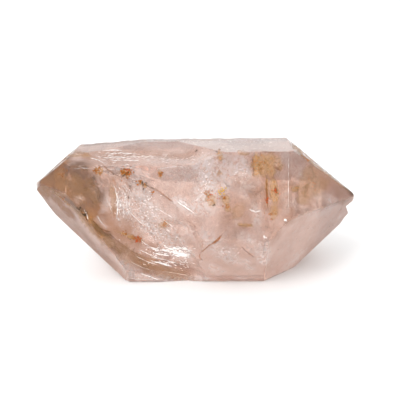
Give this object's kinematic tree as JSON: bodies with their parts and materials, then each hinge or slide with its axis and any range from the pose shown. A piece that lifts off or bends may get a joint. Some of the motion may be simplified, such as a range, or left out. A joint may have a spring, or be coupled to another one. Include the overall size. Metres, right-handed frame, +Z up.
{
  "type": "double-terminated citrine crystal",
  "caption": "Natural double-terminated quartz crystal, pale smoky pink and see-through, with a hollow fracture and rusty iron stains; lies flat on one long face as a display stone.",
  "frame": {"origin": "middle of the bounding box, on the plane that the crystal rests on", "axes": "+X along the crystal's long axis, towards the sharper point, at the right of the picture; +Y away from the picture's camera; +Z up, out of the resting face"},
  "size_m": [0.0604, 0.0272, 0.0244],
  "materials": {
    "quartz": "natural crystal faces, glossy with frosted areas, cloudy inside with rust-brown iron stains"
  },
  "bodies": {
    "root": {"crystal": "quartz"}
  },
  "joints": []
}
